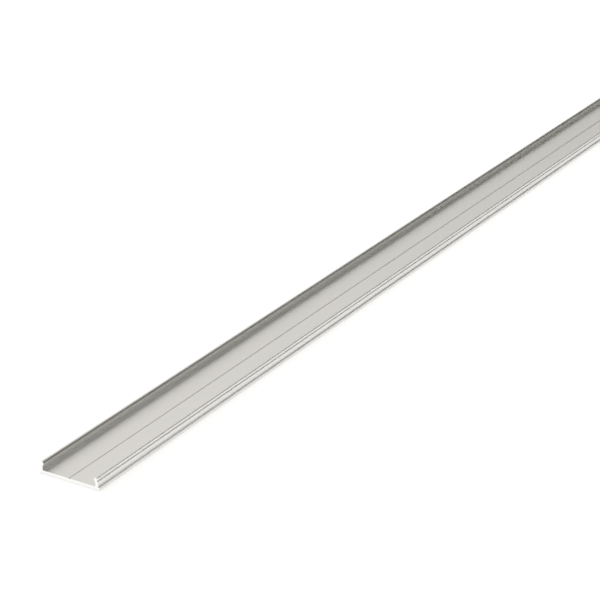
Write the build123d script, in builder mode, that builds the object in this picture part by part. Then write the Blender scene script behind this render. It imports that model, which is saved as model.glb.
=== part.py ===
"""Shallow aluminium channel for LED strip, extruded in one piece and sawn to a stock length.

The section lies in the YZ plane, symmetrical about Z, and the length runs along X.
The origin is at the middle of the underside, and +Z points out of the open channel.
All sizes are in millimetres.
"""

import os

from build123d import *

# Stock length between the two saw cuts
length = 1000.0

# Channel that takes the strip
strip_width = 16.0
strip_play = 0.7
floor_thickness = 0.9
wall_thickness = 0.75
profile_height = 3.45

# Foot along the outside of each wall: its top rises a little towards the wall
foot_reach = 0.4
foot_thickness = 0.8
foot_rise = 0.15

# Snap lip along the top of each wall: a slope leads in to the nose, an undercut falls back
# from the nose to the wall, and the lip's outside stands back on a ledge
lip_reach = 0.4
lip_lead_in = 0.27
nose_drop = 0.6
undercut_drop = 0.85
lip_setback = 0.23
ledge_drop = 1.0

# Drill guide line along the middle of the floor
groove_width = 0.32
groove_depth = 0.16

# Die radii: free edges, the lip's rounded top, the steps outside and the roots inside
edge_radius = 0.1
lip_radius = 0.28
step_radius = 0.1
root_radius = 0.25

# A radius may take this share of the shorter side that it rounds
radius_share = 0.45


def rounded(radius, *sides):
    """The radius, limited by the sides of the section that it rounds."""
    return min(radius, radius_share * min(sides))


# Widths from the middle of the section
wall_inner = (strip_width + strip_play) / 2
wall_outer = wall_inner + wall_thickness
foot_edge = wall_outer + foot_reach
lip_outer = wall_outer - lip_setback
lip_nose = wall_inner - lip_reach
lip_mouth = lip_nose + lip_lead_in
lip_top_width = lip_outer - lip_mouth

# Heights above the underside
foot_height = foot_thickness + foot_rise
ledge_height = profile_height - ledge_drop
nose_height = profile_height - nose_drop
undercut_height = nose_height - undercut_drop
groove_bottom = floor_thickness - groove_depth

# Half of the outline, from the foot's lower edge round to the guide line,
# as (width, height, corner radius)
half_outline = [
    (foot_edge, 0, rounded(edge_radius, foot_thickness)),
    (foot_edge, foot_thickness, rounded(edge_radius, foot_reach, foot_thickness)),
    (wall_outer, foot_height, rounded(step_radius, foot_reach, ledge_height - foot_height)),
    (wall_outer, ledge_height, rounded(step_radius, lip_setback)),
    (lip_outer, ledge_height, rounded(step_radius, lip_setback)),
    (lip_outer, profile_height, rounded(lip_radius, lip_top_width, ledge_drop)),
    (lip_mouth, profile_height, rounded(edge_radius, lip_top_width, nose_drop)),
    (lip_nose, nose_height, rounded(edge_radius, nose_drop, undercut_drop)),
    (wall_inner, undercut_height, rounded(root_radius, undercut_drop)),
    (wall_inner, floor_thickness, rounded(root_radius, undercut_height - floor_thickness)),
    (groove_width / 2, floor_thickness, 0),
]
guide_line = (0, groove_bottom, 0)
other_half = [(-width, height, radius) for width, height, radius in reversed(half_outline)]
outline = [*half_outline, guide_line, *other_half]

with BuildPart() as profile:
    with BuildSketch(Plane.YZ):
        with BuildLine():
            FilletPolyline(
                *[(width, height) for width, height, _ in outline],
                radius=[radius for _, _, radius in outline],
                close=True,
            )
        make_face()
    extrude(amount=length / 2, both=True)

profile.part.label = "profile"
os.makedirs("parts", exist_ok=True)
export_step(profile.part, "parts/profile.step")
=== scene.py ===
"""Dresses the aluminium channel profile and stages it for its product picture.

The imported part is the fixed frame. Its one node, the sawn length of profile, keeps its mesh and
gets an anodised finish. A white table, a soft light dome and the camera are built round it.
All sizes are in metres unless a name says otherwise.
"""

import logging
import math
from dataclasses import dataclass
from enum import Enum
from typing import Any, Mapping, Optional, Sequence, Union

import bpy
from mathutils import Matrix, Vector


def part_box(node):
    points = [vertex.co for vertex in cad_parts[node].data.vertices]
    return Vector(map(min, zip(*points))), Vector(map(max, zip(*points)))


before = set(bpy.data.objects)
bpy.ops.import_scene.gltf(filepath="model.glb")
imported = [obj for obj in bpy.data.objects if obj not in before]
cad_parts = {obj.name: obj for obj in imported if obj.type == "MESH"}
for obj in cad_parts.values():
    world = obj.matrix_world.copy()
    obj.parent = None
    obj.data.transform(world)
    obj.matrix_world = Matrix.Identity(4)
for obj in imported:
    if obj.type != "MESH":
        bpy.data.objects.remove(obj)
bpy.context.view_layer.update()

log = logging.getLogger("profile_scene")

Colour = tuple[float, float, float]
SocketColour = tuple[float, float, float, float]

MM = 0.001
MICRON = 0.000001
NOISE_MIDDLE = 0.5


class Ray(Enum):
    """Kinds of ray that a surface can tell apart, as named on the Light Path node."""

    CAMERA = "Is Camera Ray"
    GLOSSY = "Is Glossy Ray"
    TRANSMISSION = "Is Transmission Ray"


class Term:
    """A shader socket that takes part in Python arithmetic."""

    def __init__(self, bench: "Bench", socket: bpy.types.NodeSocket) -> None:
        """Keeps the socket and the bench that its sums are built on."""
        self.bench = bench
        self.socket = socket

    def __add__(self, other: "Value") -> "Term":
        """Sum of two values."""
        return self.bench.math("ADD", self, other)

    def __radd__(self, other: "Value") -> "Term":
        """Sum of two values."""
        return self.bench.math("ADD", other, self)

    def __sub__(self, other: "Value") -> "Term":
        """Difference of two values."""
        return self.bench.math("SUBTRACT", self, other)

    def __rsub__(self, other: "Value") -> "Term":
        """Difference of two values."""
        return self.bench.math("SUBTRACT", other, self)

    def __mul__(self, other: "Value") -> "Term":
        """Product of two values."""
        return self.bench.math("MULTIPLY", self, other)

    def __rmul__(self, other: "Value") -> "Term":
        """Product of two values."""
        return self.bench.math("MULTIPLY", other, self)

    def __pow__(self, power: "Value") -> "Term":
        """The value raised to a power."""
        return self.bench.math("POWER", self, power)

    def __gt__(self, other: "Value") -> "Term":
        """One where this value is the greater, and zero elsewhere."""
        return self.bench.math("GREATER_THAN", self, other)

    def __abs__(self) -> "Term":
        """Size of the value without its sign."""
        return self.bench.math("ABSOLUTE", self)

    def at_least(self, low: "Value") -> "Term":
        """The value, or the low limit where that is greater."""
        return self.bench.math("MAXIMUM", self, low)

    def at_most(self, high: "Value") -> "Term":
        """The value, or the high limit where that is less."""
        return self.bench.math("MINIMUM", self, high)


Value = Union[Term, float]
Input = Union[Term, float, Sequence[float]]


class Bench:
    """A node tree that is built up from Python."""

    def __init__(self, tree: bpy.types.NodeTree, output: str) -> None:
        """Clears the tree and adds its output.

        Args:
            tree: The node tree of a material or a world.
            output: The type of its output node.
        """
        tree.nodes.clear()
        self.tree = tree
        self.output = tree.nodes.new(output)

    def node(
        self,
        kind: str,
        settings: Optional[Mapping[str, Any]] = None,
        inputs: Optional[Mapping[Union[str, int], Input]] = None,
        output: Union[str, int] = 0,
    ) -> Term:
        """Adds a node.

        Args:
            kind: The node's type.
            settings: Its own settings, which are set first.
            inputs: The values or links of its sockets, by name or number.
            output: The output that the returned term stands for.

        Returns:
            The chosen output.
        """
        made = self.tree.nodes.new(kind)
        for name, setting in (settings or {}).items():
            setattr(made, name, setting)
        for key, value in (inputs or {}).items():
            if isinstance(value, Term):
                self.tree.links.new(value.socket, made.inputs[key])
            else:
                made.inputs[key].default_value = value
        return Term(self, made.outputs[output])

    def math(self, operation: str, *values: Value) -> Term:
        """Adds a Math node.

        Args:
            operation: The node's operation.
            values: Its operands, in order.

        Returns:
            The result.
        """
        return self.node("ShaderNodeMath", {"operation": operation}, dict(enumerate(values)))

    def mix_colour(self, share: Value, first: Input, second: Input) -> Term:
        """Mixes two colours.

        Args:
            share: How much of the second colour shows.
            first: The colour at share 0.
            second: The colour at share 1.

        Returns:
            The mixed colour.
        """
        return self.node(
            "ShaderNodeMixRGB", None, {"Fac": share, "Color1": first, "Color2": second}
        )

    def axes(self, vector: Term) -> list[Term]:
        """The X, Y and Z parts of a vector."""
        return [self.node("ShaderNodeSeparateXYZ", None, {0: vector}, axis) for axis in range(3)]

    def vector(self, x: Value, y: Value, z: Value) -> Term:
        """A vector from its three parts."""
        return self.node("ShaderNodeCombineXYZ", None, {0: x, 1: y, 2: z})

    def noise(self, place: Term, scale: float = 1.0) -> Term:
        """Noise between 0 and 1 at a place, with about as many ripples to a unit as the scale."""
        return self.node("ShaderNodeTexNoise", None, {"Vector": place, "Scale": scale})

    def drawn_noise(self, place: Term, length: float, width: float) -> Term:
        """Noise that is drawn out along X.

        Args:
            place: The point that is looked at.
            length: The length of a ripple along X.
            width: Its width along Y and Z.

        Returns:
            Noise between 0 and 1.
        """
        along, across, height = self.axes(place)
        return self.noise(
            self.vector(along * (1 / length), across * (1 / width), height * (1 / width))
        )

    def noise_along(self, place: Term) -> Term:
        """Noise between 0 and 1 along a line, about one ripple to each unit."""
        return self.node(
            "ShaderNodeTexNoise", {"noise_dimensions": "1D"}, {"W": place, "Scale": 1.0}
        )

    def any_ray(self, *rays: Ray) -> Term:
        """Tells some kinds of ray from the others.

        Args:
            rays: The kinds that are looked for.

        Returns:
            One for each of these kinds of ray, and zero for the others.
        """
        flags = [self.node("ShaderNodeLightPath", None, None, ray.value) for ray in rays]
        total = flags[0]
        for flag in flags[1:]:
            total = self.math("MAXIMUM", total, flag)
        return total

    def bump(self, relief: Term) -> Term:
        """The normal of a surface with a relief in metres, at its full depth."""
        return self.node("ShaderNodeBump", None, {"Distance": 1.0, "Height": relief})

    def surface(self, shader: Term) -> None:
        """Sends a shader to the output."""
        self.tree.links.new(shader.socket, self.output.inputs["Surface"])


def opaque(colour: Colour) -> SocketColour:
    """The colour with full alpha, as sockets take it."""
    return (*colour, 1.0)


def grey(level: float) -> SocketColour:
    """An even grey with full alpha, as sockets take it."""
    return opaque((level, level, level))


@dataclass(frozen=True)
class Surface:
    """What a finish says about each point of a surface."""

    colour: Term
    roughness: Term
    relief: Term


@dataclass(frozen=True)
class SatinAnodising:
    """Natural satin anodising, over metal that the die drew fine lines along."""

    # The two tones, how much the die lines shift them, and the slow patches that do the rest
    pale_tone: Colour = (0.940, 0.936, 0.923)
    deep_tone: Colour = (0.866, 0.860, 0.845)
    line_share: float = 0.6
    patch_length: float = 70 * MM
    patch_width: float = 5 * MM

    # The sheen, which changes from line to line
    roughness: float = 0.46
    roughness_change: float = 0.24

    # The relief of the die lines and of the etched grain
    line_length: float = 250 * MM
    line_width: float = 0.12 * MM
    line_depth: float = 4.0 * MICRON
    grain_size: float = 0.05 * MM
    grain_depth: float = 0.6 * MICRON

    def surface(self, bench: Bench, place: Term) -> Surface:
        """Works the finish out.

        Args:
            bench: The material's bench.
            place: The point on the piece, with the length along X.

        Returns:
            Tones that drift along the length, and lines and grain in roughness and relief.
        """
        patches = bench.drawn_noise(place, self.patch_length, self.patch_width)
        lines = bench.drawn_noise(place, self.line_length, self.line_width)
        grain = bench.noise(place, scale=1 / self.grain_size)
        depth = patches * (1 - self.line_share) + lines * self.line_share
        return Surface(
            colour=bench.mix_colour(depth, opaque(self.pale_tone), opaque(self.deep_tone)),
            roughness=self.roughness + (lines - NOISE_MIDDLE) * self.roughness_change,
            relief=lines * self.line_depth + grain * self.grain_depth,
        )


@dataclass(frozen=True)
class SawnMetal:
    """Bare bright metal with the arcs that a saw blade leaves."""

    pale_tone: Colour = (1.0, 1.0, 0.995)
    deep_tone: Colour = (0.95, 0.95, 0.94)
    roughness: float = 0.22
    roughness_change: float = 0.10

    # The middle of the blade, and the arcs round it
    blade_across: float = -40 * MM
    blade_height: float = 120 * MM
    arc_pitch: float = 0.10 * MM
    arc_depth: float = 5.0 * MICRON

    def surface(self, bench: Bench, place: Term) -> Surface:
        """Works the finish out.

        Args:
            bench: The material's bench.
            place: The point on the piece, with the length along X.

        Returns:
            Arcs round the blade's middle in colour, roughness and relief.
        """
        _, across, height = bench.axes(place)
        reach = bench.math(
            "SQRT", (across - self.blade_across) ** 2.0 + (height - self.blade_height) ** 2.0
        )
        arcs = bench.noise_along(reach * (1 / self.arc_pitch))
        return Surface(
            colour=bench.mix_colour(arcs, opaque(self.pale_tone), opaque(self.deep_tone)),
            roughness=self.roughness + (arcs - NOISE_MIDDLE) * self.roughness_change,
            relief=arcs * self.arc_depth,
        )


@dataclass
class ChannelProfile:
    """The sawn length of profile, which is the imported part's only node."""

    node: str = "profile"
    skin: SatinAnodising = SatinAnodising()
    cut: SawnMetal = SawnMetal()
    cut_depth: float = 0.01 * MM

    def dress(self) -> bpy.types.Object:
        """Gives the node its finish.

        Returns:
            The node's object.
        """
        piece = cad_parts[self.node]
        _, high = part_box(self.node)
        piece.material_slots[0].material = self.material(half_length=high.x)
        log.info("%s: anodised finish, %.0f mm long", piece.name, 2 * high.x / MM)
        return piece

    def material(self, half_length: float) -> bpy.types.Material:
        """Makes the metal, anodised along the length and bare on the sawn ends.

        Args:
            half_length: Half of the profile's length, where the saw cuts are.

        Returns:
            The material.
        """
        made = bpy.data.materials.new("anodised_aluminium")
        made.use_nodes = True
        bench = Bench(made.node_tree, "ShaderNodeOutputMaterial")
        place = bench.node("ShaderNodeTexCoord", None, None, "Object")
        along, _, _ = bench.axes(place)
        sawn = abs(along) > half_length - self.cut_depth
        skin = self.skin.surface(bench, place)
        cut = self.cut.surface(bench, place)
        relief = skin.relief + sawn * (cut.relief - skin.relief)
        metal = bench.node(
            "ShaderNodeBsdfPrincipled",
            None,
            {
                "Metallic": 1.0,
                "Base Color": bench.mix_colour(sawn, skin.colour, cut.colour),
                "Roughness": skin.roughness + sawn * (cut.roughness - skin.roughness),
                "Normal": bench.bump(relief),
            },
        )
        bench.surface(metal)
        return made


@dataclass
class WhiteTable:
    """The plain white table that the profile lies on."""

    size: float = 200.0
    drop: float = 0.02 * MM

    # The white that the camera and the metal see: a glow with a painted contact shadow, dimmer
    # close to the profile, and a grey that takes its real shadow
    glow: float = 0.63
    painted_shadow_glow: float = 0.47
    painted_shadow_reach: float = 0.75 * MM
    painted_shadow_samples: int = 8
    shadow_grey: float = 0.60

    # The white that all other light meets
    plain_grey: float = 0.80

    def build(self) -> bpy.types.Object:
        """Builds the table top.

        Returns:
            The table's object.
        """
        bpy.ops.object.select_all(action="DESELECT")
        bpy.ops.mesh.primitive_plane_add(size=self.size, location=(0, 0, -self.drop))
        table = bpy.context.object
        table.name = "white_table"
        table.data.materials.append(self.material())
        log.info("%s: stage", table.name)
        return table

    def material(self) -> bpy.types.Material:
        """Makes the table's white, which the metal mirrors: a glow with a painted contact shadow
        close to the profile, and a grey that a real shadow darkens.

        Returns:
            The material.
        """
        made = bpy.data.materials.new("table_white")
        made.use_nodes = True
        bench = Bench(made.node_tree, "ShaderNodeOutputMaterial")
        glow = bench.node("ShaderNodeEmission", None, {"Strength": self.glow})
        # Painted shadow: a dimmer glow where ambient occlusion finds the profile close
        painted_shadow = bench.node("ShaderNodeEmission", None, {"Strength": self.painted_shadow_glow})
        clear_of_painted_shadow = bench.node(
            "ShaderNodeAmbientOcclusion",
            {"samples": self.painted_shadow_samples},
            {"Distance": self.painted_shadow_reach},
            "AO",
        )
        white = bench.node("ShaderNodeMixShader", None, {0: clear_of_painted_shadow, 1: painted_shadow, 2: glow})
        shadow = bench.node("ShaderNodeBsdfDiffuse", None, {"Color": grey(self.shadow_grey)})
        shown = bench.node("ShaderNodeAddShader", None, {0: shadow, 1: white})
        plain = bench.node("ShaderNodeBsdfDiffuse", None, {"Color": grey(self.plain_grey)})
        seen = bench.any_ray(Ray.CAMERA, Ray.GLOSSY, Ray.TRANSMISSION)
        bench.surface(bench.node("ShaderNodeMixShader", None, {0: seen, 1: plain, 2: shown}))
        return made


@dataclass(frozen=True)
class SoftLight:
    """One soft light of the studio, brightest in its own direction and nowhere over white."""

    towards: tuple[float, float, float]
    level: float
    focus: float
    white: float = 1.0

    def strength(self, bench: Bench, direction: Term) -> Term:
        """Works the light out.

        Args:
            bench: The world's bench.
            direction: The direction that is looked in.

        Returns:
            The light's strength in that direction.
        """
        facing = bench.node(
            "ShaderNodeVectorMath",
            {"operation": "DOT_PRODUCT"},
            {0: direction, 1: Vector(self.towards).normalized()},
            "Value",
        )
        return (facing.at_least(0.0) ** self.focus * self.level).at_most(self.white)


@dataclass
class LightDome:
    """Soft studio light from overhead, from the left and from a box ahead; the right is dark."""

    colour: Colour = (1.0, 0.983, 0.937)
    overhead: SoftLight = SoftLight(towards=(0.0, 0.0, 1.0), level=1.95, focus=3.6)
    left: SoftLight = SoftLight(towards=(0.0, 1.0, 0.0), level=0.535, focus=1.0)
    ahead: SoftLight = SoftLight(towards=(0.77, 0.5, 0.4), level=0.385, focus=16.0)

    def build(self) -> bpy.types.World:
        """Makes the world that lights the scene.

        Returns:
            The world.
        """
        world = bpy.data.worlds.new("light_dome")
        world.use_nodes = True
        bpy.context.scene.world = world
        bench = Bench(world.node_tree, "ShaderNodeOutputWorld")
        direction = bench.node("ShaderNodeTexCoord", None, None, "Generated")
        strength = (
            self.overhead.strength(bench, direction)
            + self.left.strength(bench, direction)
            + self.ahead.strength(bench, direction)
        )
        bench.surface(
            bench.node(
                "ShaderNodeBackground", None, {"Color": opaque(self.colour), "Strength": strength}
            )
        )
        log.info("%s: world", world.name)
        return world


@dataclass
class PictureCamera:
    """The camera, placed so that the near sawn end falls where the picture has it."""

    lens_mm: float = 115.72
    sensor_mm: float = 36.0
    elevation_deg: float = 23.29
    turn_deg: float = 31.08
    distance: float = 487.9 * MM
    clip_start: float = 10 * MM
    picture_px: float = 600.0
    near_end_px: tuple[float, float] = (69.05, 481.60)

    def build(self, near_end: Vector) -> bpy.types.Object:
        """Makes the scene's camera.

        Args:
            near_end: The middle of the near end's lower edge.

        Returns:
            The camera's object.
        """
        data = bpy.data.cameras.new("picture_camera")
        data.lens = self.lens_mm
        data.sensor_width = self.sensor_mm
        data.clip_start = self.clip_start
        camera = bpy.data.objects.new("picture_camera", data)
        camera.matrix_world = self.pose(near_end)
        bpy.context.scene.collection.objects.link(camera)
        bpy.context.scene.camera = camera
        log.info("%s: camera", camera.name)
        return camera

    def pose(self, near_end: Vector) -> Matrix:
        """Works out where the camera stands and how it is turned.

        Args:
            near_end: The middle of the near end's lower edge.

        Returns:
            The camera's place and turn.
        """
        rise = math.radians(self.elevation_deg)
        turn = math.radians(self.turn_deg)
        level = math.cos(rise)
        ahead = Vector((level * math.cos(turn), level * math.sin(turn), -math.sin(rise)))
        right = Vector((math.sin(turn), -math.cos(turn), 0.0))
        up = right.cross(ahead)
        focal_px = self.lens_mm / self.sensor_mm * self.picture_px
        column, row = self.near_end_px
        aside = (column - self.picture_px / 2) / focal_px
        above = (self.picture_px / 2 - row) / focal_px
        place = near_end - self.distance * (ahead + aside * right + above * up)
        return Matrix.Translation(place) @ Matrix((right, up, -ahead)).transposed().to_4x4()


def main() -> None:
    """Dresses the profile and sets the stage round it."""
    logging.basicConfig(level=logging.INFO, format="%(name)s: %(message)s")
    bpy.context.scene.view_settings.view_transform = "Standard"
    profile = ChannelProfile()
    profile.dress()
    WhiteTable().build()
    LightDome().build()
    low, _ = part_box(profile.node)
    PictureCamera().build(near_end=Vector((low.x, 0.0, low.z)))


if __name__ == "__main__":
    main()
